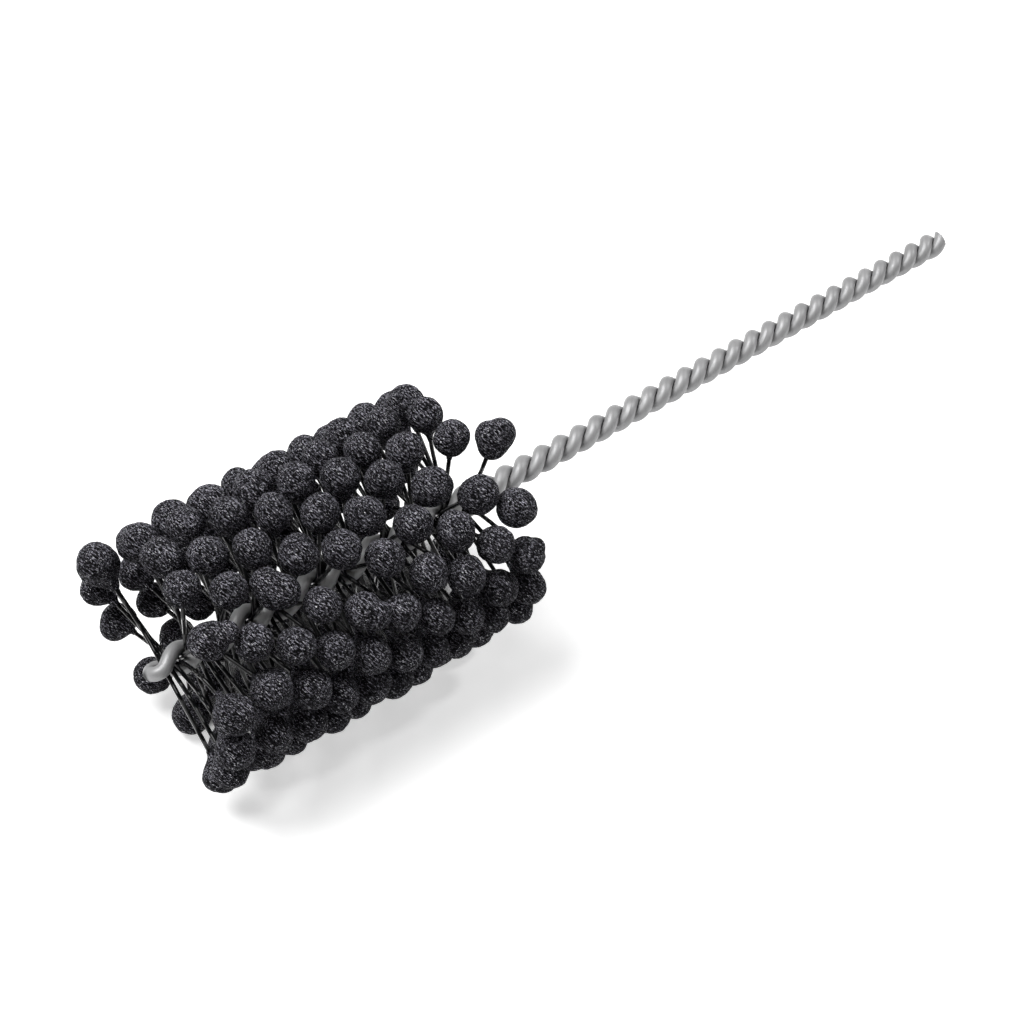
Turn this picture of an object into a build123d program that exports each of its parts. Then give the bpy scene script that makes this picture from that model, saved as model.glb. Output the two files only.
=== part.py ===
from build123d import *

import math
import os

import numpy as np

# Flexible ball hone, in millimetres.
# The stem lies along X with its cut end at the origin and its hairpin tip towards -X, and +Z is up.
# "Reach along the stem" is measured from the cut end towards the tip.
# Angles round the stem run from +Z towards +Y.

# Stem: one wire folded at the tip and twisted left-handed on itself
overall_length = 203.2
wire_diameter = 2.8
shank_pitch = 9.4
head_pitch = 14.5
strand_clearance = 0.02
cut_end_bevel = 0.5
cut_end_groove_angle = 70.0

# Filaments: nylon, nipped one by one between the two strands, a globule on each end
filament_diameter = 0.85
filament_clearance = 0.02
filament_spacing_least = 0.9
tip_to_first_filament = 4.0
filament_span = 69.7
twist_change_past_last_filament = 0.7
twist_change_length = 4.0
root_clearance = 0.3

# Globules: abrasive moulded round the filament ends
globule_diameter = 7.8
globule_reach = 22.7
globule_gap_round = 1.2
globule_gap_least = 0.25
neck_flare_radius = 2.0
neck_wall = 0.3
bond_clearance = 0.02
bond_past_centre = 1.0
globule_sizes = (0.92, 1.0, 0.96, 0.9)
neck_sizes = (1.0, 0.8, 1.2, 0.9)

# How far the globules stand off their places, in millimetres along and round the head
scatter_along = 0.45
scatter_round = 0.6
scatter_seed = 5
settling_rounds = 60
settling_share = 0.35

# Filaments that lean by more: (filament from the tip, end) to (towards the shank, round the head)
leaning = {
    (0, 0): (3.4, -0.6),
    (1, 0): (1.6, -6.0),
    (2, 0): (1.6, -6.0),
    (3, 0): (0.8, -6.0),
    (4, 0): (0.3, -1.4),
    (0, 1): (-2.0, -1.6),
    (1, 1): (-1.2, -2.8),
    (2, 1): (-0.5, -5.8),
    (3, 1): (-1.5, -4.4),
    (4, 1): (-0.9, -0.8),
    (5, 1): (1.4, -0.5),
    (6, 0): (-0.4, -0.8),
    (6, 1): (2.0, 3.4),
    (7, 0): (-1.0, -1.0),
    (9, 0): (-3.0, 0.8),
    (9, 1): (-0.6, -2.6),
    (10, 1): (-0.2, -0.4),
    (13, 1): (-0.5, -1.2),
    (17, 0): (1.9, -0.2),
    (19, 0): (0.4, 1.4),
    (34, 0): (0.2, 1.8),
    (41, 1): (-0.5, 2.2),
    (57, 1): (-0.6, -0.8),
    (58, 1): (-1.2, -1.2),
    (62, 0): (0.2, -2.0),
    (63, 0): (0.2, -1.8),
    (64, 0): (0.0, -1.6),
    (65, 0): (1.2, 1.8),
    (66, 0): (0.0, -0.6),
    (67, 0): (0.4, 0.4),
    (69, 1): (-0.2, -1.6),
    (70, 1): (-1.4, -2.6),
    (71, 1): (-1.6, -2.2),
    (72, 1): (1.0, 1.0),
}

# Worked out
wire_radius = wire_diameter / 2
shank_radius = wire_radius + strand_clearance / 2
head_radius = wire_radius + filament_diameter / 2 + filament_clearance
root_reach = head_radius + wire_radius + root_clearance
first_filament = overall_length - tip_to_first_filament
last_filament = first_filament - filament_span
twist_change = last_filament - twist_change_past_last_filament
bend_apex = overall_length - wire_radius
globule_radius = globule_diameter / 2
neck_foot_radius = filament_diameter / 2 + neck_wall
full_turn = 360.0
half_turn = 180.0


def neck_length(radius, flare):
    """Distance from a globule's centre to the foot of its neck."""
    return math.sqrt((radius + flare) ** 2 - (neck_foot_radius + flare) ** 2)


foot_reach = neck_length(globule_radius, neck_flare_radius)
free_length = globule_reach - foot_reach - root_reach
lever = free_length / 2 + foot_reach


def filaments_per_half_turn():
    """A whole number and a half, so that the globules of one half turn face the gaps of the next."""
    half_pitch = head_pitch / 2
    globule_room = globule_diameter + globule_gap_least
    in_row = globule_diameter + globule_gap_round
    between_rows = 2 * math.sqrt(max(globule_room ** 2 - half_pitch ** 2, 0))
    half_way_round = math.pi * globule_reach
    fits = min(half_way_round / max(in_row, between_rows), half_pitch / filament_spacing_least)
    return max(math.floor(fits - 0.5), 1) + 0.5


per_half_turn = filaments_per_half_turn()
filament_spacing = head_pitch / 2 / per_half_turn
filament_count = int(filament_span / filament_spacing + 0.5) + 1
row_count = int((filament_count - 1) / per_half_turn) + 1


def groove_angle(reach):
    """Angle of the groove between the strands, as the twist eases from the shank's pitch to the head's."""
    shank_rate = full_turn / shank_pitch
    head_rate = full_turn / head_pitch
    into = min(max(reach - twist_change + twist_change_length / 2, 0), twist_change_length)
    before = min(reach, twist_change - twist_change_length / 2)
    after = max(reach - twist_change - twist_change_length / 2, 0)
    eased = shank_rate * into + (head_rate - shank_rate) * into ** 2 / (2 * twist_change_length)
    return cut_end_groove_angle - shank_rate * before - eased - head_rate * after


def strand_radius(reach):
    """The strands open from touching each other in the shank to nipping the filaments in the head."""
    end = last_filament - filament_diameter
    share = min(max((reach - end + twist_change_length) / twist_change_length, 0), 1)
    return shank_radius + (head_radius - shank_radius) * share ** 2 * (3 - 2 * share)


def on_stem(reach, radius, angle):
    """A point given by its reach from the cut end, its distance from the axis and its angle."""
    turned = math.radians(angle)
    return Vector(-reach, radius * math.sin(turned), radius * math.cos(turned))


def strand_point(reach, side):
    return on_stem(reach, strand_radius(reach), groove_angle(reach) + half_turn / 2 + side * half_turn)


def helical_strand(start, end, side, radius, pitch):
    """One strand over a stretch of even twist."""
    helix = Edge.make_helix(pitch, end - start, radius, lefthand=True)
    start_angle = groove_angle(start) + half_turn / 2 + side * half_turn
    return Pos(-start, 0, 0) * Rot(0, -90, 0) * Rot(0, 0, start_angle) * helix


def easing_strand(shank_strand, head_strand, side):
    """The same strand between two such stretches, where its twist and its distance from the axis change."""
    point_count = 16
    start = -(shank_strand @ 1).X
    step = (-(head_strand @ 0).X - start) / point_count
    points = [strand_point(start + step * i, side) for i in range(point_count + 1)]
    return Spline(*points, tangents=(shank_strand % 1, head_strand % 0), tangent_scalars=(1, 1))


def hairpin_bend(strand, other_strand):
    """The fold at the tip, from one strand over the axis to the other, still turning with the twist."""
    shoulder_share = 0.62
    turning_share = 0.4
    bulge = 0.88
    past_filament = (bend_apex - first_filament) * shoulder_share
    angle = groove_angle(first_filament + past_filament * turning_share) + half_turn / 2
    shoulders = [on_stem(first_filament + past_filament, head_radius * bulge, angle + side * half_turn)
                 for side in (0, 1)]
    points = [strand @ 1, shoulders[0], Vector(-bend_apex, 0, 0), shoulders[1], other_strand @ 1]
    return Spline(*points, tangents=(strand % 1, (other_strand % 1) * -1), tangent_scalars=(1, 1))


def core_wire():
    """The folded and twisted wire, cut square at the shank's end with a small bevel round it."""
    overrun = wire_diameter
    ease_start = twist_change - twist_change_length * 1.5
    ease_end = twist_change + twist_change_length
    curves = []
    for side in (0, 1):
        shank_strand = helical_strand(-overrun, ease_start, side, shank_radius, shank_pitch)
        head_strand = helical_strand(ease_end, first_filament, side, head_radius, head_pitch)
        curves += [shank_strand, easing_strand(shank_strand, head_strand, side), head_strand]
    curves.append(hairpin_bend(curves[2], curves[5]))
    lengths = [Solid.sweep((Plane(origin=curve @ 0, z_dir=curve % 0) * Circle(wire_radius)).face(), curve)
               for curve in curves]
    envelope = shank_radius + wire_radius
    beyond = Plane.XZ * Polygon((0, 0), (2 * overrun, 0), (2 * overrun, 2 * envelope),
                                (-cut_end_bevel, 2 * envelope), (-cut_end_bevel, envelope),
                                (0, envelope - cut_end_bevel), align=None)
    return lengths[0].fuse(*lengths[1:]) - revolve(beyond, Axis.X)


def lean_axes(station, end):
    """Where a filament leaves the strands, its outward direction and the two directions it can lean in."""
    reach = first_filament - station * filament_spacing
    angle = groove_angle(reach) + end * half_turn
    outward = on_stem(0, 1, angle)
    sideways = on_stem(0, 1, angle + half_turn / 2)
    return on_stem(reach, root_reach, angle), outward, Vector(1, 0, 0), sideways


def bent_half(station, end, lean):
    """Root, foot and end direction of a filament's free half, which leans as an arc of its own length."""
    root, outward, along, sideways = lean_axes(station, end)
    leant = math.hypot(*lean)
    if leant < filament_clearance:
        return root, root + outward * free_length, outward
    bend = leant / lever
    aside = (along * lean[0] + sideways * lean[1]) / leant
    radius = free_length / bend
    foot = root + outward * (radius * math.sin(bend)) + aside * (radius * (1 - math.cos(bend)))
    return root, foot, outward * math.cos(bend) + aside * math.sin(bend)


def globule_centre(station, end, lean):
    _, foot, direction = bent_half(station, end, lean)
    return foot + direction * foot_reach


def settled_leans():
    """The globules' uneven places: a seeded scatter, then each pushes its neighbours off until none touch."""
    random = np.random.default_rng(scatter_seed)
    ends = [(station, end) for station in range(filament_count) for end in (0, 1)]
    drawn = random.uniform(-1, 1, (len(ends), 2)) * (scatter_along, scatter_round)
    leans = np.array([leaning.get(key, tuple(draw)) for key, draw in zip(ends, drawn)])
    room = globule_diameter * max(globule_sizes) + globule_gap_least
    axes = [lean_axes(station, end) for station, end in ends]
    along = np.array([tuple(axis[2]) for axis in axes])
    sideways = np.array([tuple(axis[3]) for axis in axes])
    for _ in range(settling_rounds):
        centres = np.array([tuple(globule_centre(*key, tuple(lean))) for key, lean in zip(ends, leans)])
        apart = centres[:, None] - centres[None]
        distance = np.linalg.norm(apart, axis=2) + np.eye(len(ends)) * room
        push = np.where(distance < room, (room - distance) / distance, 0)[..., None] * apart
        moved = push.sum(axis=1) * settling_share
        if not moved.any():
            break
        leans += np.stack([(moved * along).sum(axis=1), (moved * sideways).sum(axis=1)], axis=1)
    return {key: tuple(lean) for key, lean in zip(ends, leans)}


def filament(station, leans):
    """One nylon filament from globule to globule, straight where the strands nip it."""
    halves = [bent_half(station, end, leans[station, end]) for end in (0, 1)]
    bond = foot_reach + bond_past_centre
    edges = []
    for (root, foot, direction), (_, outward, _, _) in zip(halves, (lean_axes(station, 0), lean_axes(station, 1))):
        straight = (foot - root).cross(outward).length < filament_clearance
        free = Line(root, foot) if straight else TangentArc(root, foot, tangent=outward)
        edges.append([free, Line(foot, foot + direction * bond)])
    path = Wire([*edges[0], Line(halves[0][0], halves[1][0]), *edges[1]])
    section = Plane(origin=path @ 0, z_dir=path % 0) * Circle(filament_diameter / 2)
    return sweep(section, path=path)


def globule_form(size, neck_size):
    """A globule about its centre: a ball that flares down a short neck, with a blind hole for the filament."""
    radius = globule_radius * size
    flare = neck_flare_radius * neck_size
    foot = -neck_length(radius, flare)
    hole = filament_diameter / 2 + bond_clearance
    hole_end = bond_past_centre + bond_clearance
    share = radius / (radius + flare)
    blend = Vector((neck_foot_radius + flare) * share, 0, foot * share)
    flare_centre = Vector(neck_foot_radius + flare, 0, foot)
    half_way = (Vector(neck_foot_radius, 0, foot) + blend) / 2
    throat = flare_centre + (half_way - flare_centre).normalized() * flare
    outline = [
        Line((hole, 0, foot), (neck_foot_radius, 0, foot)),
        ThreePointArc((neck_foot_radius, 0, foot), throat, blend),
        ThreePointArc(blend, (radius, 0, 0), (0, 0, radius)),
        Line((0, 0, radius), (0, 0, hole_end)),
        Line((0, 0, hole_end), (hole, 0, hole_end)),
        Line((hole, 0, hole_end), (hole, 0, foot)),
    ]
    return revolve(make_face(outline), Axis.Z)


def globules(stations, leans):
    """The globules on both ends of some filaments, each set on its filament's end."""
    forms = [globule_form(size, neck) for size, neck in zip(globule_sizes, neck_sizes)]
    placed = []
    for station in stations:
        for end in (0, 1):
            _, _, direction = bent_half(station, end, leans[station, end])
            centre = globule_centre(station, end, leans[station, end])
            form = forms[(station * 3 + end * 2 + station // 7) % len(forms)]
            placed.append(Plane(origin=centre, z_dir=direction) * form)
    return placed


def write(node, shapes):
    """One STEP file, holding every solid of a node."""
    solids = [solid for shape in shapes for solid in shape.solids()]
    export_step(solids[0] if len(solids) == 1 else Compound(children=solids), f"parts/{node}.step")


os.makedirs("parts", exist_ok=True)
leans = settled_leans()
write("core_wire", [core_wire()])
for row in range(row_count):
    stations = [k for k in range(filament_count) if int(k / per_half_turn) == row]
    write(f"nylon_filaments_row_{row + 1:02d}", [filament(station, leans) for station in stations])
    write(f"abrasive_globules_row_{row + 1:02d}", globules(stations, leans))
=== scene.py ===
import math
import random

import bmesh
import bpy
import numpy as np
from mathutils import Matrix, Vector, noise


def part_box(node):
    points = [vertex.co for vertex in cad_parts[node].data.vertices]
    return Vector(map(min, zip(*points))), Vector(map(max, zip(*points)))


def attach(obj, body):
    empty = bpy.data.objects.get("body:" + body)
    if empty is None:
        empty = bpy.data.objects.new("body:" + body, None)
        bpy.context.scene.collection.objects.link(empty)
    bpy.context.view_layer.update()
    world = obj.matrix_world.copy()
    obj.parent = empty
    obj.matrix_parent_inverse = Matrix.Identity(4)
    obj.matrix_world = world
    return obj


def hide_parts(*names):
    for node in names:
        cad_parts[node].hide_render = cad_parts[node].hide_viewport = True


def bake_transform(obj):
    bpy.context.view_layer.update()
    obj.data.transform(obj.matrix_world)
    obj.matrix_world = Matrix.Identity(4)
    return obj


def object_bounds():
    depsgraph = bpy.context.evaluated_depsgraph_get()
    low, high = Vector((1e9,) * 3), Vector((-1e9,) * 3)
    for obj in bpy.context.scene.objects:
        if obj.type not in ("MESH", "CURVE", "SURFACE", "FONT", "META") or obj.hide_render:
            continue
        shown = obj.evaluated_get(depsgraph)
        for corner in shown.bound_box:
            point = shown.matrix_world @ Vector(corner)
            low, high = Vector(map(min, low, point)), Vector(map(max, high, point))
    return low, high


bl_info = {
    "name": "Ball Hone Finish",
    "version": (1, 0, 0),
    "blender": (4, 5, 0),
    "location": "3D View > Sidebar > Ball Hone",
    "description": "Gives a ball hone its gritty globules, its nylon filaments and its drawn steel wire",
    "category": "Object",
}

MM = 0.001
PICTURE_SIZE = 1024
SENSOR = 36.0

# A plain globule's radius, and how far the foot of its neck lies from its centre, in millimetres
FORM_RADIUS = 3.75
FOOT_REACH = 5.25

# Globules that moulding left lumpy: where each is seen in the picture, then its lobes, each given by
# how far it lies to the right of that place, how far below it, and its radius, all in pixels
LOBED_GLOBULES = (
    ((273, 590), ((-8, -7, 17), (9, 1, 18))),
    ((210, 641), ((18, -9, 12),)),
    ((492, 437), ((6, -5, 16), (-2, 7, 15))),
    ((528, 555), ((9, -8, 10),)),
    ((118, 620), ((-4, 6, 15),)),
    ((368, 607), ((12, 4, 16),)),
)

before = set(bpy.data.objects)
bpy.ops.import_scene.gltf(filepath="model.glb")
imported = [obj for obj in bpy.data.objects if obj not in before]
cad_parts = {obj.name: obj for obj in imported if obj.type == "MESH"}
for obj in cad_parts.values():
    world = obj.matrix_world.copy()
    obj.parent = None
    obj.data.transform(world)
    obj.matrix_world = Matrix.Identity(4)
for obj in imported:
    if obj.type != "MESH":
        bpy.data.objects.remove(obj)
CAD_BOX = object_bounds()


class GlobuleSettings(bpy.types.PropertyGroup):
    """Shape and colours of the abrasive globules."""

    forms: bpy.props.IntProperty(
        name="Forms", description="How many different globules are modelled", default=16, min=1)
    seed: bpy.props.IntProperty(
        name="Seed", description="Start of the random choice and turn of each globule's form", default=11)
    fineness: bpy.props.IntProperty(
        name="Fineness", description="Subdivisions of a globule's mesh", default=5, min=3, max=6)
    fullness: bpy.props.FloatProperty(
        name="Fullness", description="Size of a lumpy globule, as a share of the plain one's", default=1.04)
    lump: bpy.props.FloatProperty(
        name="Lumps", description="Height of the lumps that moulding leaves", default=0.28 * MM,
        unit="LENGTH", precision=5)
    grain: bpy.props.FloatProperty(
        name="Grain", description="Width of a grain of grit", default=0.13 * MM, unit="LENGTH", precision=5)
    streak: bpy.props.FloatProperty(
        name="Streak", description="Distance between the streaks in which the grains lie",
        default=0.6 * MM, unit="LENGTH", precision=5)
    lie: bpy.props.FloatVectorProperty(
        name="Lie", description="Direction in which the splintery grains lie",
        default=(0.332, -0.835, -0.438), subtype="DIRECTION")
    across: bpy.props.FloatVectorProperty(
        name="Across", description="Direction across the streaks", default=(0.851, 0.064, 0.522),
        subtype="DIRECTION")
    resin: bpy.props.FloatVectorProperty(
        name="Resin", description="Colour of the resin between the grains", default=(0.0015, 0.0015, 0.002),
        subtype="COLOR", min=0, max=1)
    grit: bpy.props.FloatVectorProperty(
        name="Grit", description="Colour of the palest grains", default=(0.73, 0.715, 0.825),
        subtype="COLOR", min=0, max=1)
    glint: bpy.props.FloatVectorProperty(
        name="Glint", description="Colour of the few grains that glint", default=(0.8, 0.8, 0.85),
        subtype="COLOR", min=0, max=1)


class FilamentSettings(bpy.types.PropertyGroup):
    """Shape and colour of the nylon filaments."""

    sectors: bpy.props.IntProperty(
        name="Sectors", description="Groups of filaments round the stem, each bending as one piece",
        default=16, min=8)
    radius: bpy.props.FloatProperty(
        name="Radius", description="Radius of a filament", default=0.43 * MM, unit="LENGTH", precision=5)
    bend_start: bpy.props.FloatProperty(
        name="Bend starts", description="Distance from the axis where a filament leaves the strands",
        default=3.3 * MM, unit="LENGTH", precision=5)
    bend_end: bpy.props.FloatProperty(
        name="Bend ends", description="Distance from the axis where a filament enters its globule",
        default=17.4 * MM, unit="LENGTH", precision=5)
    colour: bpy.props.FloatVectorProperty(
        name="Nylon", description="Colour of the nylon", default=(0.002, 0.002, 0.0025),
        subtype="COLOR", min=0, max=1)


class WireSettings(bpy.types.PropertyGroup):
    """Colour of the steel wire, and of the shade painted into its grooves."""

    steel: bpy.props.FloatVectorProperty(
        name="Steel", description="Colour of the drawn steel", default=(0.5, 0.5, 0.505),
        subtype="COLOR", min=0, max=1)
    # Colour of the shade painted into the grooves between the strands
    groove_shade: bpy.props.FloatVectorProperty(
        name="Shade", description="Colour of the grime in the grooves", default=(0.04, 0.04, 0.042),
        subtype="COLOR", min=0, max=1)


class StageSettings(bpy.types.PropertyGroup):
    """Camera, lamps and floor."""

    azimuth: bpy.props.FloatProperty(
        name="Azimuth", description="Camera's direction round the stem", default=math.radians(-36.8),
        unit="ROTATION")
    elevation: bpy.props.FloatProperty(
        name="Elevation", description="Camera's height above the stem", default=math.radians(47.01),
        unit="ROTATION")
    roll: bpy.props.FloatProperty(
        name="Roll", description="Camera's turn about its view", default=math.radians(-0.49),
        unit="ROTATION")
    distance: bpy.props.FloatProperty(
        name="Distance", description="Camera's distance from the hone", default=415.2 * MM, unit="LENGTH")
    across: bpy.props.FloatProperty(
        name="Across", description="How far the camera is moved to its right", default=-13.96 * MM,
        unit="LENGTH", precision=5)
    upward: bpy.props.FloatProperty(
        name="Upward", description="How far the camera is moved up its picture", default=-15.04 * MM,
        unit="LENGTH", precision=5)
    lens: bpy.props.FloatProperty(
        name="Lens", description="Camera's focal length in millimetres", default=72.08)
    key: bpy.props.FloatProperty(
        name="Key lamp", description="Power of the wide soft lamp above", default=18.0, unit="POWER")
    spark: bpy.props.FloatProperty(
        name="Spark lamp", description="Power of the small lamp that puts thin lights on the nylon",
        default=3.0, unit="POWER")
    sky: bpy.props.FloatProperty(
        name="Room", description="Strength of the light from the room", default=0.13)
    walls: bpy.props.FloatProperty(
        name="Walls", description="How bright the walls of the room look in a reflection", default=0.2)
    floor: bpy.props.FloatVectorProperty(
        name="Floor", description="Colour of the floor", default=(0.92, 0.92, 0.92),
        subtype="COLOR", min=0, max=1)
    bounce: bpy.props.FloatVectorProperty(
        name="Bounce", description="Colour of the light that the floor throws back",
        default=(0.16, 0.16, 0.16), subtype="COLOR", min=0, max=1)
    # Lean of the shadow painted on the floor under the hone
    painted_shadow_lean: bpy.props.FloatVectorProperty(
        name="Cover", description="Direction from which the hone covers the floor",
        default=(-0.46, -0.61, 0.64), subtype="DIRECTION")


# Node groups and materials


def new_group(name, inputs, outputs):
    """A shader node group with its named sockets, its input and output nodes."""
    group = bpy.data.node_groups.new(name, "ShaderNodeTree")
    for label, kind, default in inputs:
        socket = group.interface.new_socket(label, in_out="INPUT", socket_type=kind)
        socket.default_value = default
    for label, kind in outputs:
        group.interface.new_socket(label, in_out="OUTPUT", socket_type=kind)
    return group, group.nodes.new("NodeGroupInput"), group.nodes.new("NodeGroupOutput")


def add_math(tree, operation, first, second=None, third=None, clamp=False):
    """A math node; each operand is a socket or a number."""
    node = tree.nodes.new("ShaderNodeMath")
    node.operation = operation
    node.use_clamp = clamp
    for socket, value in zip(node.inputs, (first, second, third)):
        if isinstance(value, bpy.types.NodeSocket):
            tree.links.new(value, socket)
        elif value is not None:
            socket.default_value = value
    return node.outputs[0]


def add_vector(tree, operation, first, second=None, scale=None):
    """A vector math node; each operand is a socket or a vector."""
    node = tree.nodes.new("ShaderNodeVectorMath")
    node.operation = operation
    scale_input = 3
    for number, value in ((0, first), (1, second), (scale_input, scale)):
        if isinstance(value, bpy.types.NodeSocket):
            tree.links.new(value, node.inputs[number])
        elif value is not None:
            node.inputs[number].default_value = value
    return node.outputs["Value" if operation in ("DOT_PRODUCT", "LENGTH") else "Vector"]


def add_ramp(tree, factor, low, high):
    """A smooth step of factor from low to high."""
    node = tree.nodes.new("ShaderNodeMapRange")
    node.interpolation_type = "SMOOTHSTEP"
    tree.links.new(factor, node.inputs["Value"])
    node.inputs["From Min"].default_value = low
    node.inputs["From Max"].default_value = high
    return node.outputs["Result"]


def add_mix(tree, factor, first, second):
    """A colour mix by a socket; each colour is a socket or three numbers."""
    factor_input, first_input, second_input, colour_output = 0, 6, 7, 2
    node = tree.nodes.new("ShaderNodeMix")
    node.data_type = "RGBA"
    tree.links.new(factor, node.inputs[factor_input])
    for number, value in ((first_input, first), (second_input, second)):
        if isinstance(value, bpy.types.NodeSocket):
            tree.links.new(value, node.inputs[number])
        else:
            node.inputs[number].default_value = (*value, 1)
    return node.outputs[colour_output]


def add_noise(tree, vector, scale, detail, roughness=0.5):
    """A noise texture; its scale is a socket."""
    node = tree.nodes.new("ShaderNodeTexNoise")
    tree.links.new(vector, node.inputs["Vector"])
    tree.links.new(scale, node.inputs["Scale"])
    node.inputs["Detail"].default_value = detail
    node.inputs["Roughness"].default_value = roughness
    return node.outputs["Fac"]


def grit_group():
    """Grains of grit in resin: how pale each grain is, which few glint, and their tilted facets."""
    group, given, result = new_group(
        "Grit",
        [("Vector", "NodeSocketVector", (0, 0, 0)), ("Lie", "NodeSocketVector", (1, 0, 0)),
         ("Across", "NodeSocketVector", (0, 1, 0)), ("Grain", "NodeSocketFloat", 0.3 * MM),
         ("Slenderness", "NodeSocketFloat", 1.8), ("Streak", "NodeSocketFloat", 0.7 * MM),
         ("Glinting", "NodeSocketFloat", 0.04)],
        [("Grains", "NodeSocketFloat"), ("Glint", "NodeSocketFloat"), ("Height", "NodeSocketFloat")])
    rarity, rim_tone = 4.0, 0.3
    speckle_least, speckle_more = 0.55, 0.9
    waver_turns, comb_depth = 1.4, 0.6
    glint_step, doming = 0.01, -0.35
    soft_from, soft_to = 0.3, 0.7
    speckles_per_grain, wavers_per_streak = 1.6, 0.6
    per_grain = add_math(group, "DIVIDE", 1.0, given.outputs["Grain"])
    along = add_vector(group, "DOT_PRODUCT", given.outputs["Vector"], given.outputs["Lie"])
    drawn_out = add_math(group, "SUBTRACT", 1.0, add_math(group, "DIVIDE", 1.0, given.outputs["Slenderness"]))
    shorter = add_math(group, "MULTIPLY", along, drawn_out)
    shift = add_vector(group, "SCALE", given.outputs["Lie"], scale=shorter)
    where = add_vector(group, "SUBTRACT", given.outputs["Vector"], shift)
    cells = group.nodes.new("ShaderNodeTexVoronoi")
    group.links.new(where, cells.inputs["Vector"])
    group.links.new(per_grain, cells.inputs["Scale"])
    chance = group.nodes.new("ShaderNodeSeparateColor")
    group.links.new(cells.outputs["Color"], chance.inputs[0])
    inside = add_math(group, "SUBTRACT", 1.0, cells.outputs["Distance"])
    inside = add_ramp(group, inside, soft_from, soft_to)
    fine = add_noise(group, where, add_math(group, "MULTIPLY", per_grain, speckles_per_grain), 1.0, 0.6)
    pale = add_math(group, "POWER", chance.outputs[0], rarity)
    pale = add_math(group, "MULTIPLY", pale, add_math(group, "MULTIPLY_ADD", inside, 1 - rim_tone, rim_tone))
    speckle = add_ramp(group, fine, soft_from, soft_to)
    speckle = add_math(group, "MULTIPLY_ADD", speckle, speckle_more, speckle_least)
    pale = add_math(group, "MULTIPLY", pale, speckle)
    per_streak = add_math(group, "DIVIDE", 1.0, given.outputs["Streak"])
    sideways = add_vector(group, "DOT_PRODUCT", given.outputs["Vector"], given.outputs["Across"])
    per_waver = add_math(group, "MULTIPLY", per_streak, wavers_per_streak)
    waver = add_noise(group, given.outputs["Vector"], per_waver, 1.0)
    waver = add_math(group, "MULTIPLY", waver, waver_turns)
    turns = add_math(group, "MULTIPLY_ADD", sideways, per_streak, waver)
    comb = add_math(group, "SINE", add_math(group, "MULTIPLY", turns, math.tau))
    combed = add_math(group, "MULTIPLY_ADD", comb, comb_depth, 1.0)
    group.links.new(add_math(group, "MULTIPLY", pale, combed), result.inputs["Grains"])
    picked = add_math(group, "SUBTRACT", given.outputs["Glinting"], chance.outputs[1])
    chosen = add_ramp(group, picked, 0.0, glint_step)
    group.links.new(add_math(group, "MULTIPLY", chosen, inside), result.inputs["Glint"])
    from_middle = add_vector(group, "SUBTRACT", where, cells.outputs["Position"])
    tilt = add_vector(group, "SUBTRACT", cells.outputs["Color"], (0.5, 0.5, 0.5))
    raised = add_math(group, "MULTIPLY", add_vector(group, "DOT_PRODUCT", from_middle, tilt), per_grain)
    height = add_math(group, "MULTIPLY_ADD", cells.outputs["Distance"], doming, raised)
    group.links.new(height, result.inputs["Height"])
    return group


def unevenness_group():
    """Slow drift of tone over a surface, and fine scratches on it."""
    group, given, result = new_group(
        "Unevenness",
        [("Vector", "NodeSocketVector", (0, 0, 0)), ("Patch", "NodeSocketFloat", 5 * MM)],
        [("Drift", "NodeSocketFloat"), ("Scratches", "NodeSocketFloat")])
    scratches_per_patch = 14.0
    drift_from, drift_to = 0.3, 0.7
    scratch_from, scratch_to = 0.52, 0.75
    per_patch = add_math(group, "DIVIDE", 1.0, given.outputs["Patch"])
    drift = add_noise(group, given.outputs["Vector"], per_patch, 3.0, 0.55)
    per_scratch = add_math(group, "MULTIPLY", per_patch, scratches_per_patch)
    fine = add_noise(group, given.outputs["Vector"], per_scratch, 2.0, 0.7)
    group.links.new(add_ramp(group, drift, drift_from, drift_to), result.inputs["Drift"])
    group.links.new(add_ramp(group, fine, scratch_from, scratch_to), result.inputs["Scratches"])
    return group


def new_material(name):
    """A material with its Principled shader and a texture coordinate node."""
    material = bpy.data.materials.new(name)
    material.use_nodes = True
    tree = material.node_tree
    return material, tree, tree.nodes["Principled BSDF"], tree.nodes.new("ShaderNodeTexCoord")


def add_group(tree, group, vector, **values):
    """A node group placed in a material, with its own values."""
    node = tree.nodes.new("ShaderNodeGroup")
    node.node_tree = group
    tree.links.new(vector, node.inputs["Vector"])
    for name, value in values.items():
        node.inputs[name].default_value = value
    return node


def add_bump(tree, shader, height, distance, strength):
    """Bump on a shader from a height."""
    node = tree.nodes.new("ShaderNodeBump")
    node.inputs["Distance"].default_value = distance
    node.inputs["Strength"].default_value = strength
    tree.links.new(height, node.inputs["Height"])
    tree.links.new(node.outputs["Normal"], shader.inputs["Normal"])


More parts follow.
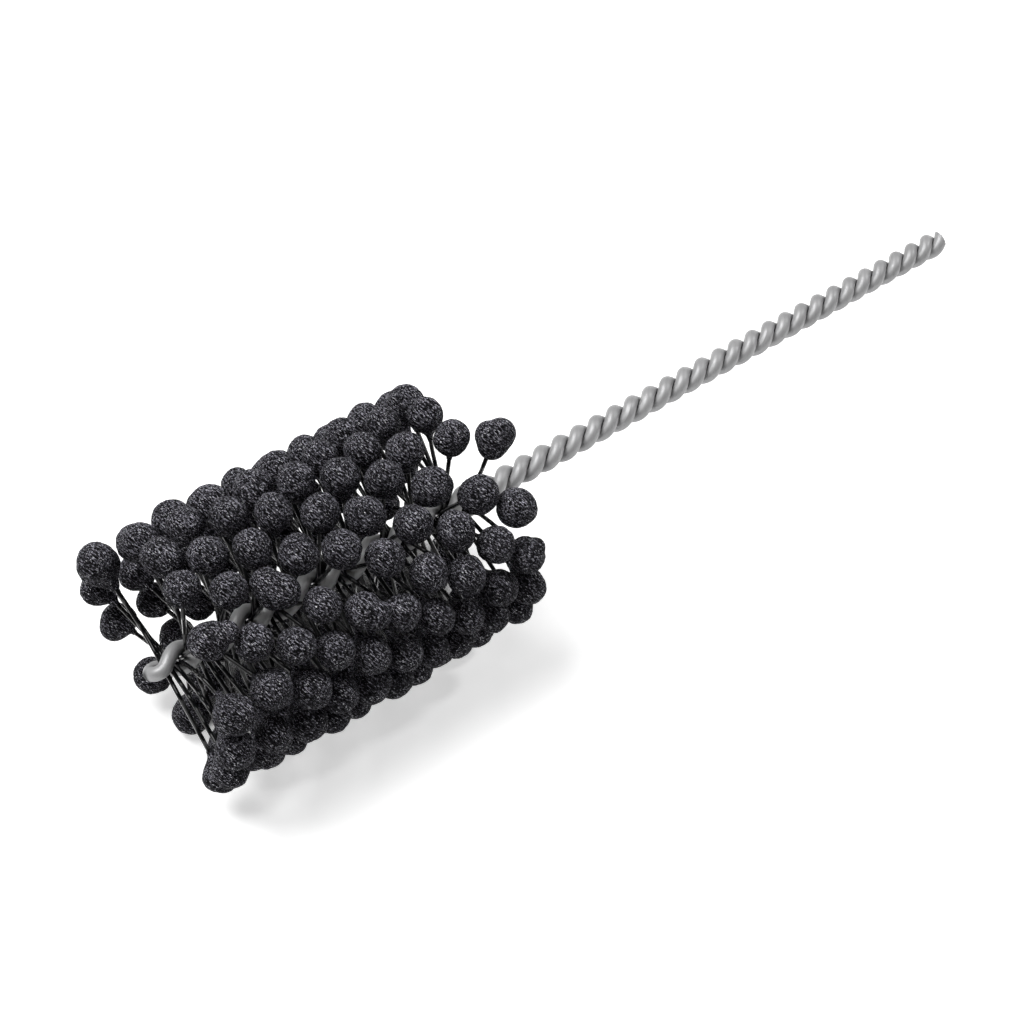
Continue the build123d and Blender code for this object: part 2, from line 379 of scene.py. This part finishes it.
def grit_material(settings):
    """Silicon carbide grit in dark resin."""
    patches, glint_metal = 0.3, 0.6
    resin_roughness, glint_polish = 0.72, 0.3
    bump = 1.0
    material, tree, shader, place = new_material("silicon_carbide_grit")
    where = place.outputs["Object"]
    grit = add_group(tree, bpy.data.node_groups["Grit"], where, Lie=settings.lie, Across=settings.across,
                     Grain=settings.grain, Slenderness=3.8, Streak=settings.streak, Glinting=0.06)
    uneven = add_group(tree, bpy.data.node_groups["Unevenness"], where, Patch=6 * MM)
    body = add_mix(tree, grit.outputs["Grains"], settings.resin, settings.grit)
    body = add_mix(tree, add_math(tree, "MULTIPLY", uneven.outputs["Drift"], patches), body, settings.resin)
    tree.links.new(add_mix(tree, grit.outputs["Glint"], body, settings.glint), shader.inputs["Base Color"])
    tree.links.new(add_math(tree, "MULTIPLY", grit.outputs["Glint"], glint_metal), shader.inputs["Metallic"])
    polished = add_math(tree, "MULTIPLY", grit.outputs["Glint"], glint_polish)
    rough = add_math(tree, "SUBTRACT", resin_roughness, polished)
    tree.links.new(rough, shader.inputs["Roughness"])
    shader.inputs["Specular IOR Level"].default_value = 0.05
    add_bump(tree, shader, grit.outputs["Height"], settings.grain, bump)
    return material


def nylon_material(settings):
    """Smooth black monofilament, a little dusty in patches."""
    dust, smooth, dusty_roughness = 0.003, 0.08, 0.05
    material, tree, shader, place = new_material("black_nylon")
    uneven = add_group(tree, bpy.data.node_groups["Unevenness"], place.outputs["Object"], Patch=4 * MM)
    dusty = tuple(channel + dust for channel in settings.colour)
    colour = add_mix(tree, uneven.outputs["Drift"], settings.colour, dusty)
    tree.links.new(colour, shader.inputs["Base Color"])
    rough = add_math(tree, "MULTIPLY_ADD", uneven.outputs["Drift"], dusty_roughness, smooth)
    tree.links.new(rough, shader.inputs["Roughness"])
    shader.inputs["Specular IOR Level"].default_value = 0.3
    return material


def steel_material(settings):
    """Drawn steel wire, dulled by twisting, with shade painted dark down in its grooves."""
    # Shade is painted into the grooves between the strands, near the axis: a dark colour and more roughness
    groove_floor, groove_edge = 0.6 * MM, 1.5 * MM
    shade_depth, groove_roughness = 0.95, 0.2
    worn_by_scratches, worn_by_drift, worn_tone = 0.45, 0.4, 0.72
    drawn_roughness, scratched_roughness = 0.5, 0.12
    scratch_depth, bump = 0.02 * MM, 0.3
    material, tree, shader, place = new_material("twisted_steel")
    where = place.outputs["Object"]
    uneven = add_group(tree, bpy.data.node_groups["Unevenness"], where, Patch=3.5 * MM)
    axes = tree.nodes.new("ShaderNodeSeparateXYZ")
    tree.links.new(where, axes.inputs[0])
    squares = [add_math(tree, "MULTIPLY", axes.outputs[i], axes.outputs[i]) for i in (1, 2)]
    from_axis = add_math(tree, "SQRT", add_math(tree, "ADD", *squares))
    # Painted shade: the colour goes dark close to the axis, where the strands meet
    groove = add_math(tree, "SUBTRACT", 1.0, add_ramp(tree, from_axis, groove_floor, groove_edge))
    painted_shade = add_math(tree, "MULTIPLY", groove, shade_depth)
    dulled = add_math(tree, "MULTIPLY", uneven.outputs["Scratches"], worn_by_scratches)
    dulled = add_math(tree, "MULTIPLY_ADD", uneven.outputs["Drift"], worn_by_drift, dulled)
    clean = add_mix(tree, dulled, settings.steel, tuple(channel * worn_tone for channel in settings.steel))
    # The painted shade darkens the steel's colour in the grooves
    tree.links.new(add_mix(tree, painted_shade, clean, settings.groove_shade), shader.inputs["Base Color"])
    shader.inputs["Metallic"].default_value = 0.35
    rough = add_math(tree, "MULTIPLY_ADD", uneven.outputs["Scratches"], scratched_roughness, drawn_roughness)
    rough = add_math(tree, "MULTIPLY_ADD", painted_shade, groove_roughness, rough)
    tree.links.new(rough, shader.inputs["Roughness"])
    add_bump(tree, shader, uneven.outputs["Scratches"], scratch_depth, bump)
    return material


# Globules


def islands(mesh):
    """The separate closed surfaces of a CAD node, each as an array of points."""
    work = bmesh.new()
    work.from_mesh(mesh)
    bmesh.ops.remove_doubles(work, verts=work.verts, dist=MM / 10000)
    reached, found = set(), []
    for first in work.verts:
        island, edge = [], [first]
        while edge:
            vertex = edge.pop()
            if vertex not in reached:
                reached.add(vertex)
                island.append(vertex.co[:])
                edge.extend(e.other_vert(vertex) for e in vertex.link_edges)
        if island:
            found.append(np.array(island))
    work.free()
    return sorted(found, key=lambda points: tuple(np.round(points.mean(axis=0), 6)))


def ball_of(points):
    """Centre, radius and outward direction of a globule: a sphere fitted to the outer half of its solid."""
    neck_from = 1.2
    middle = points.mean(axis=0)
    foot = points[np.argmin(np.hypot(points[:, 1], points[:, 2]))]
    outward = (middle - foot) / np.linalg.norm(middle - foot)
    outer = points[(points - middle) @ outward > 0]
    equations = np.hstack([2 * outer, np.ones((len(outer), 1))])
    solved = np.linalg.lstsq(equations, (outer ** 2).sum(axis=1), rcond=None)[0]
    centre = solved[:3]
    radius = math.sqrt(solved[3] + centre @ centre)
    low = points[(points - centre) @ outward < -radius * neck_from]
    outward = centre - low.mean(axis=0)
    return Vector(centre), radius, Vector(outward).normalized()


def neck_outline(radius, flare_from, foot, foot_radius):
    """A globule's neck as a curve from its foot to the ball: distances from the axis and heights."""
    foot_pull, ball_pull = 0.5, 0.45
    meets = Vector((radius * math.sin(flare_from), -radius * math.cos(flare_from)))
    along = Vector((math.cos(flare_from), math.sin(flare_from)))
    reach = foot - radius * math.cos(flare_from)
    handles = (Vector((foot_radius, -foot)), Vector((foot_radius, -foot + foot_pull * reach)),
               meets - along * ball_pull * reach, meets)

    def at(share):
        left = 1 - share
        weights = (left ** 3, 3 * share * left ** 2, 3 * share ** 2 * left, share ** 3)
        return sum((handle * weight for handle, weight in zip(handles, weights)), Vector((0, 0)))
    return at


def globule_form(seed, settings):
    """One globule about its own centre, its neck along -Z, with the lumps that moulding leaves."""
    chance = random.Random(seed)
    foot_radius = 0.6
    rim = 0.12
    neck_kept_plain = 0.25
    knob_edge, knob_width, knob_most = 0.55, 0.45, 0.8
    lump_width, small_lump_width, small_lumps = 3.2, 1.25, 0.35
    grain_width, grain_height, grain_least = 0.42, 0.1, 0.3
    flare_from = math.radians(chance.uniform(42, 66))
    neck = neck_outline(FORM_RADIUS, flare_from, chance.uniform(5.3, 6.5), foot_radius)
    shift = Vector([chance.uniform(-50, 50) for _ in range(3)])
    squeeze = Vector([chance.uniform(0.95, 1.03), chance.uniform(0.95, 1.03), chance.uniform(0.96, 1.05)])
    knob = Vector([chance.gauss(0, 1), chance.gauss(0, 1), chance.gauss(-0.3, 0.6)]).normalized()
    knob_height = knob_most * max(0.0, chance.uniform(-0.8, 1.0))
    ball = bmesh.new()
    bmesh.ops.create_icosphere(ball, subdivisions=settings.fineness, radius=1.0)
    for vertex in ball.verts:
        away = vertex.co.normalized()
        flat = Vector((away.x, away.y, 0))
        flat = flat.normalized() if flat.length > 0 else flat
        from_neck = math.acos(max(-1, min(1, -away.z)))
        share = from_neck / flare_from
        point = away * FORM_RADIUS
        if share < 1:
            across, height = neck(max(0.0, (share - rim) / (1 - rim)))
            point = flat * across * min(1.0, share / rim) + Vector((0, 0, height))
        kept = min(1.0, max(0.0, share - neck_kept_plain))
        lumps = (noise.noise(point / lump_width + shift)
                 + small_lumps * noise.noise(point / small_lump_width + shift * 2))
        grains = noise.noise(point / grain_width + shift * 3)
        swell = knob_height * max(0.0, away.dot(knob) - knob_edge) / knob_width
        outward = away.lerp(flat, 1 - kept).normalized() if share > rim else away
        point += outward * (kept * lumps * settings.lump / MM + kept * swell
                            + grains * grain_height * max(kept, grain_least))
        vertex.co = Vector(a * b for a, b in zip(point, squeeze)) * MM
    mesh = bpy.data.meshes.new(f"globule_form_{seed:02d}")
    ball.to_mesh(mesh)
    ball.free()
    return mesh


def swell_into_lobes(vertices, centre, lobes):
    """Push a globule's surface out to the lobes that a lumpy one has, with a soft crease between them."""
    crease = 0.7 * MM
    for vertex in vertices:
        away = vertex.co - centre
        reach = away.length
        away.normalize()
        for offset, radius in lobes:
            ahead = away.dot(offset)
            inner = radius ** 2 - offset.length_squared + ahead ** 2
            if inner > 0:
                lobe = ahead + math.sqrt(inner)
                share = max(0.0, min(1.0, 0.5 + 0.5 * (lobe - reach) / crease))
                reach = reach + (lobe - reach) * share + crease * share * (1 - share) * 0.5
        vertex.co = centre + away * reach


def lobes_seen(centres, settings):
    """The lobes of each lumpy globule, found by where it is seen; of two there, the nearer one is meant."""
    right, up, forward = camera_axes(settings)
    eye = camera_place(settings)
    focal = settings.lens / SENSOR * PICTURE_SIZE
    found = {}
    for (across, down), lobes in LOBED_GLOBULES:
        misses = []
        for centre in centres:
            view = centre - eye
            pixel = view.dot(forward) / focal
            seen = (PICTURE_SIZE / 2 + view.dot(right) / pixel, PICTURE_SIZE / 2 - view.dot(up) / pixel)
            misses.append((math.dist(seen, (across, down)) + view.length / MM, pixel))
        number = misses.index(min(misses))
        pixel = misses[number][1]
        found[number] = [((right * x - up * y) * pixel, radius * pixel) for x, y, radius in lobes]
    return found


def shade_smooth(mesh):
    """Smooth shading on every face."""
    mesh.polygons.foreach_set("use_smooth", [True] * len(mesh.polygons))


def finished_piece(name, mesh, material):
    """An object at the origin for a finished mesh, with its material."""
    mesh.materials.clear()
    mesh.materials.append(material)
    piece = bpy.data.objects.new(name, mesh)
    bpy.context.scene.collection.objects.link(piece)
    return piece


class HONE_OT_globules(bpy.types.Operator):
    """Replace the plain globules by gritty, lumpy ones in the same places"""

    bl_idname = "hone.globules"
    bl_label = "Abrasive globules"

    def execute(self, context):
        settings = context.scene.hone_globules
        material = grit_material(settings)
        forms = [globule_form(seed, settings) for seed in range(settings.forms)]
        chance = random.Random(settings.seed)
        rows = {node: [ball_of(points) for points in islands(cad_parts[node].data)]
                for node in sorted(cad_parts) if node.startswith("abrasive_globules")}
        centres = [centre for row in rows.values() for centre, _, _ in row]
        lobes = lobes_seen(centres, context.scene.hone_stage)
        number = 0
        for node, row in rows.items():
            together = bmesh.new()
            for centre, radius, outward in row:
                size = radius / (FORM_RADIUS * MM) * settings.fullness
                spin = Matrix.Rotation(chance.uniform(0, math.tau), 4, "Z")
                place = Matrix.Translation(centre) @ outward.to_track_quat("Z", "Y").to_matrix().to_4x4()
                first = len(together.verts)
                together.from_mesh(chance.choice(forms))
                together.verts.ensure_lookup_table()
                bmesh.ops.transform(together, matrix=place @ spin @ Matrix.Scale(size, 4),
                                    verts=together.verts[first:])
                if number in lobes:
                    swell_into_lobes(together.verts[first:], centre, lobes[number])
                number += 1
            mesh = bpy.data.meshes.new(node.replace("abrasive", "gritty"))
            together.to_mesh(mesh)
            together.free()
            shade_smooth(mesh)
            piece = finished_piece(mesh.name, mesh, material)
            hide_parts(node)
            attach(piece, "globules")
        return {"FINISHED"}


# Filaments


def filament_paths(globules):
    """Each half of each filament: its nip, its root, the way out there, its globule's centre and axis."""
    root_inner, root_outer = 2.2 * MM, 4.2 * MM
    ends = np.array([centre[:] for centre, _, _ in globules])
    paths = []
    for node in sorted(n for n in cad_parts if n.startswith("nylon_filaments")):
        for points in islands(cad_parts[node].data):
            from_axis = np.hypot(points[:, 1], points[:, 2])
            far = points[np.argmax(from_axis)] * (0, 1, 1)
            far /= np.linalg.norm(far)
            roots = points[(from_axis < root_outer) & (from_axis > root_inner)]
            side = (roots @ far) > 0
            nip = (roots[side].mean(axis=0) + roots[~side].mean(axis=0)) / 2
            for half in (side, ~side):
                root = roots[half].mean(axis=0)
                outward = root - nip
                reach = (points - nip) @ outward
                tip = points[np.argmax(reach)]
                centre, _, axis = globules[np.argmin(np.linalg.norm(ends - tip, axis=1))]
                paths.append((Vector(nip), Vector(root), Vector(outward).normalized(), centre, axis))
    return paths


def bent_line(nip, root, outward, centre, axis):
    """Points along half a filament, from the nip to inside its globule."""
    foot = centre - axis * FOOT_REACH * MM
    pull = (foot - root).length / 3
    handles = (root, root + outward * pull, foot - axis * pull, foot)
    steps = 8
    line = [nip]
    for step in range(steps + 1):
        t = step / steps
        weights = ((1 - t) ** 3, 3 * t * (1 - t) ** 2, 3 * t * t * (1 - t), t ** 3)
        line.append(sum((handle * weight for handle, weight in zip(handles, weights)), Vector()))
    line.append(centre)
    return line


def add_tube(work, line, radius, sides=10):
    """A closed tube along a line, extruded ring by ring."""
    ahead = [(b - a).normalized() for a, b in zip(line, line[1:])]
    ahead.append(ahead[-1])
    turn = ahead[0].to_track_quat("Z", "Y")
    ring = bmesh.ops.create_circle(work, cap_ends=True, segments=sides, radius=radius,
                                   matrix=Matrix.Translation(line[0]) @ turn.to_matrix().to_4x4())["verts"]
    cap = ring[0].link_faces[0]
    for point, before, direction, last in zip(line[1:], line, ahead[1:], ahead):
        cap = extruded(work, cap)
        swing = last.rotation_difference(direction).to_matrix().to_4x4()
        bmesh.ops.transform(work, matrix=Matrix.Translation(point) @ swing @ Matrix.Translation(-before),
                            verts=cap.verts)


def extruded(work, cap):
    """Extrude one end face and return the new end face."""
    grown = bmesh.ops.extrude_face_region(work, geom=[cap])["geom"]
    return next(item for item in grown if isinstance(item, bmesh.types.BMFace))


def list_by_place(work):
    """List corners and faces by where they are, as their order otherwise differs from run to run."""
    slant = Vector((1.0, 0.732, 0.414))
    work.verts.sort(key=lambda vertex: vertex.co.dot(slant))
    work.faces.sort(key=lambda face: face.calc_center_median().dot(slant))


class HONE_OT_filaments(bpy.types.Operator):
    """Replace the stiff filaments by ones that bend between the stem and the globules"""

    bl_idname = "hone.filaments"
    bl_label = "Nylon filaments"

    def execute(self, context):
        settings = context.scene.hone_filaments
        material = nylon_material(settings)
        nodes = sorted(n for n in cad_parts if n.startswith("nylon_filaments"))
        globules = [ball_of(points) for node in sorted(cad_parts) if node.startswith("abrasive_globules")
                    for points in islands(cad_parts[node].data)]
        width = math.tau / settings.sectors
        tubes = [bmesh.new() for _ in range(settings.sectors)]
        for path in filament_paths(globules):
            toward = path[3]
            sector = int((math.atan2(toward.z, toward.y) % math.tau) / width) % settings.sectors
            add_tube(tubes[sector], bent_line(*path), settings.radius)
        for sector, work in enumerate(tubes):
            if not work.verts:
                work.free()
                continue
            bmesh.ops.recalc_face_normals(work, faces=work.faces)
            list_by_place(work)
            mesh = bpy.data.meshes.new(f"nylon_filaments_sector_{sector + 1:02d}")
            work.to_mesh(mesh)
            work.free()
            shade_smooth(mesh)
            piece = finished_piece(mesh.name, mesh, material)
            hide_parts(*nodes)
            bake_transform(piece)
        return {"FINISHED"}


class HONE_OT_core_wire(bpy.types.Operator):
    """Give the folded and twisted wire its drawn steel finish"""

    bl_idname = "hone.core_wire"
    bl_label = "Core wire"

    def execute(self, context):
        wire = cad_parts["core_wire"]
        material = steel_material(context.scene.hone_wire)
        for slot in wire.material_slots:
            slot.material = material
        return {"FINISHED"}


# Stage


def stage_material(settings):
    """A pale floor that looks white past a shadow painted dark close under the hone, where the hone covers
    it.
    """
    cover_reach, shadow_core, shadow_edge = 80 * MM, 0.3, 0.46
    near_limit, far_limit = 250 * MM, 900 * MM
    near_lift, far_lift = 0.55, 0.5
    # Colour of the shadow painted on the floor under the hone
    painted_shadow = (0.02, 0.02, 0.02)
    material, tree, shader, place = new_material("studio_floor")
    output = tree.nodes["Material Output"]
    shader.inputs["Base Color"].default_value = (*settings.bounce, 1)
    shader.inputs["Roughness"].default_value = 1.0
    # Painted shadow: the floor goes dark where the hone covers it within cover_reach, seen along the lean
    covered = tree.nodes.new("ShaderNodeAmbientOcclusion")
    covered.samples = 24
    covered.inputs["Distance"].default_value = cover_reach
    lean = tree.nodes.new("ShaderNodeCombineXYZ")
    for socket, value in zip(lean.inputs, settings.painted_shadow_lean):
        socket.default_value = value
    tree.links.new(lean.outputs[0], covered.inputs["Normal"])
    outside_painted_shadow = add_ramp(tree, covered.outputs["AO"], shadow_core, shadow_edge)
    seen = tree.nodes.new("ShaderNodeLightPath")
    glow = tree.nodes.new("ShaderNodeEmission")
    away = add_vector(tree, "LENGTH", place.outputs["Object"])
    far = add_ramp(tree, away, near_limit, far_limit)
    lift = add_math(tree, "MULTIPLY_ADD", far, far_lift, near_lift)
    glowing = add_math(tree, "MULTIPLY", outside_painted_shadow, lift)
    glowing = add_math(tree, "MAXIMUM", glowing, seen.outputs["Is Glossy Ray"])
    tree.links.new(glowing, glow.inputs["Strength"])
    pale = tree.nodes.new("ShaderNodeBsdfDiffuse")
    # The painted shadow darkens the floor's colour whatever the lamps do
    tree.links.new(add_mix(tree, outside_painted_shadow, painted_shadow, settings.floor), pale.inputs["Color"])
    both = tree.nodes.new("ShaderNodeAddShader")
    tree.links.new(glow.outputs[0], both.inputs[0])
    tree.links.new(pale.outputs[0], both.inputs[1])
    direct = add_math(tree, "ADD", seen.outputs["Is Camera Ray"], seen.outputs["Is Glossy Ray"])
    direct = add_math(tree, "ADD", direct, seen.outputs["Is Transmission Ray"], clamp=True)
    choice = tree.nodes.new("ShaderNodeMixShader")
    tree.links.new(direct, choice.inputs[0])
    tree.links.new(shader.outputs[0], choice.inputs[1])
    tree.links.new(both.outputs[0], choice.inputs[2])
    tree.links.new(choice.outputs[0], output.inputs["Surface"])
    return material


def add_lamp(name, place, target, size, power):
    """A soft square lamp that points at the hone."""
    light = bpy.data.lights.new(name, "AREA")
    light.shape = "SQUARE"
    light.size = size
    light.energy = power
    lamp = bpy.data.objects.new(name, light)
    lamp.location = place
    lamp.rotation_euler = (Vector(target) - Vector(place)).to_track_quat("-Z", "Y").to_euler()
    bpy.context.scene.collection.objects.link(lamp)


def camera_axes(settings):
    """The camera's right, up and forward directions."""
    azimuth, elevation, roll = settings.azimuth, settings.elevation, settings.roll
    forward = Vector((-math.sin(azimuth) * math.cos(elevation), math.cos(azimuth) * math.cos(elevation),
                      -math.sin(elevation)))
    level = Vector((math.cos(azimuth), math.sin(azimuth), 0))
    above = level.cross(forward)
    right = level * math.cos(roll) + above * math.sin(roll)
    up = above * math.cos(roll) - level * math.sin(roll)
    return right, up, forward


def camera_place(settings):
    """Where the camera stands: back from the stem's middle, moved across and up its picture."""
    right, up, forward = camera_axes(settings)
    low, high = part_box("core_wire")
    middle = Vector(((low[0] + high[0]) / 2, 0, 0))
    return middle + right * settings.across + up * settings.upward - forward * settings.distance


def add_floor(middle, lowest, settings):
    """The floor, just under the lowest globule."""
    half_width, drop = 3.0, 0.05 * MM
    work = bmesh.new()
    bmesh.ops.create_grid(work, x_segments=1, y_segments=1, size=half_width,
                          matrix=Matrix.Translation((middle.x, middle.y, lowest - drop)))
    mesh = bpy.data.meshes.new("floor")
    work.to_mesh(mesh)
    work.free()
    mesh.materials.append(stage_material(settings))
    floor = bpy.data.objects.new("floor", mesh)
    bpy.context.scene.collection.objects.link(floor)


def add_camera(settings):
    """The camera, at the photograph's viewing angle."""
    right, up, forward = camera_axes(settings)
    camera = bpy.data.objects.new("camera", bpy.data.cameras.new("camera"))
    camera.data.lens = settings.lens
    camera.data.sensor_width = SENSOR
    camera.data.clip_start = 0.01
    turned = Matrix((right, up, -forward)).transposed().to_4x4()
    camera.matrix_world = Matrix.Translation(camera_place(settings)) @ turned
    bpy.context.scene.collection.objects.link(camera)
    bpy.context.scene.camera = camera


def add_lamps(middle, settings):
    """A wide soft lamp above the hone, and a small one up to its right, as the camera sees it."""
    key_distance, key_size = 1.4, 0.8
    spark_distance, spark_size = 1.2, 0.1
    right, up, forward = camera_axes(settings)
    toward_key = (up * 0.65 - forward * 0.65 - right * 0.4).normalized()
    add_lamp("key_lamp", middle + toward_key * key_distance, middle, key_size, settings.key)
    toward_spark = (right * 0.7 + up * 0.68 - forward * 0.25).normalized()
    add_lamp("spark_lamp", middle + toward_spark * spark_distance, middle, spark_size, settings.spark)


def add_room(settings):
    """A room that the camera sees as white, that lights evenly and whose walls show in reflections."""
    wall_foot, wall_top = 0.1, 0.6
    world = bpy.data.worlds.new("room")
    bpy.context.scene.world = world
    world.use_nodes = True
    tree = world.node_tree
    plain = tree.nodes["Background"]
    plain.inputs["Color"].default_value = (1, 1, 1, 1)
    plain.inputs["Strength"].default_value = settings.sky
    white = tree.nodes.new("ShaderNodeBackground")
    white.inputs["Color"].default_value = (1, 1, 1, 1)
    white.inputs["Strength"].default_value = 1.0
    seen = tree.nodes.new("ShaderNodeLightPath")
    facing = tree.nodes.new("ShaderNodeTexCoord")
    split = tree.nodes.new("ShaderNodeSeparateXYZ")
    tree.links.new(facing.outputs["Generated"], split.inputs[0])
    walls = add_math(tree, "SUBTRACT", 1.0, add_ramp(tree, split.outputs[2], wall_foot, wall_top))
    mirrored = add_math(tree, "ADD", seen.outputs["Is Glossy Ray"], seen.outputs["Is Transmission Ray"])
    mirrored = add_math(tree, "MULTIPLY", add_math(tree, "MULTIPLY", mirrored, walls), settings.walls)
    direct = add_math(tree, "ADD", seen.outputs["Is Camera Ray"], mirrored, clamp=True)
    choice = tree.nodes.new("ShaderNodeMixShader")
    tree.links.new(direct, choice.inputs[0])
    tree.links.new(plain.outputs[0], choice.inputs[1])
    tree.links.new(white.outputs[0], choice.inputs[2])
    tree.links.new(choice.outputs[0], tree.nodes["World Output"].inputs["Surface"])


class HONE_OT_stage(bpy.types.Operator):
    """Set the floor, the lamps and the camera"""

    bl_idname = "hone.stage"
    bl_label = "Stage"

    def execute(self, context):
        settings = context.scene.hone_stage
        low, high = CAD_BOX
        middle = (low + high) / 2
        add_floor(middle, low.z, settings)
        add_camera(settings)
        add_lamps(middle, settings)
        add_room(settings)
        context.scene.view_settings.view_transform = "Standard"
        return {"FINISHED"}


class HONE_PT_panel(bpy.types.Panel):
    """Lists the steps that finish the hone"""

    bl_idname = "HONE_PT_panel"
    bl_label = "Ball Hone"
    bl_space_type = "VIEW_3D"
    bl_region_type = "UI"
    bl_category = "Ball Hone"

    def draw(self, context):
        for operator in OPERATORS:
            self.layout.operator(operator.bl_idname, text=operator.bl_label)


SETTINGS = {
    "hone_globules": GlobuleSettings,
    "hone_filaments": FilamentSettings,
    "hone_wire": WireSettings,
    "hone_stage": StageSettings,
}
OPERATORS = (HONE_OT_globules, HONE_OT_filaments, HONE_OT_core_wire, HONE_OT_stage)


def register():
    for kind in (*SETTINGS.values(), *OPERATORS, HONE_PT_panel):
        bpy.utils.register_class(kind)
    for name, kind in SETTINGS.items():
        setattr(bpy.types.Scene, name, bpy.props.PointerProperty(type=kind))


def unregister():
    for name in SETTINGS:
        delattr(bpy.types.Scene, name)
    for kind in (HONE_PT_panel, *reversed(OPERATORS), *SETTINGS.values()):
        bpy.utils.unregister_class(kind)


def main():
    register()
    grit_group()
    unevenness_group()
    for step in (bpy.ops.hone.globules, bpy.ops.hone.filaments, bpy.ops.hone.core_wire, bpy.ops.hone.stage):
        step()


if __name__ == "__main__":
    main()
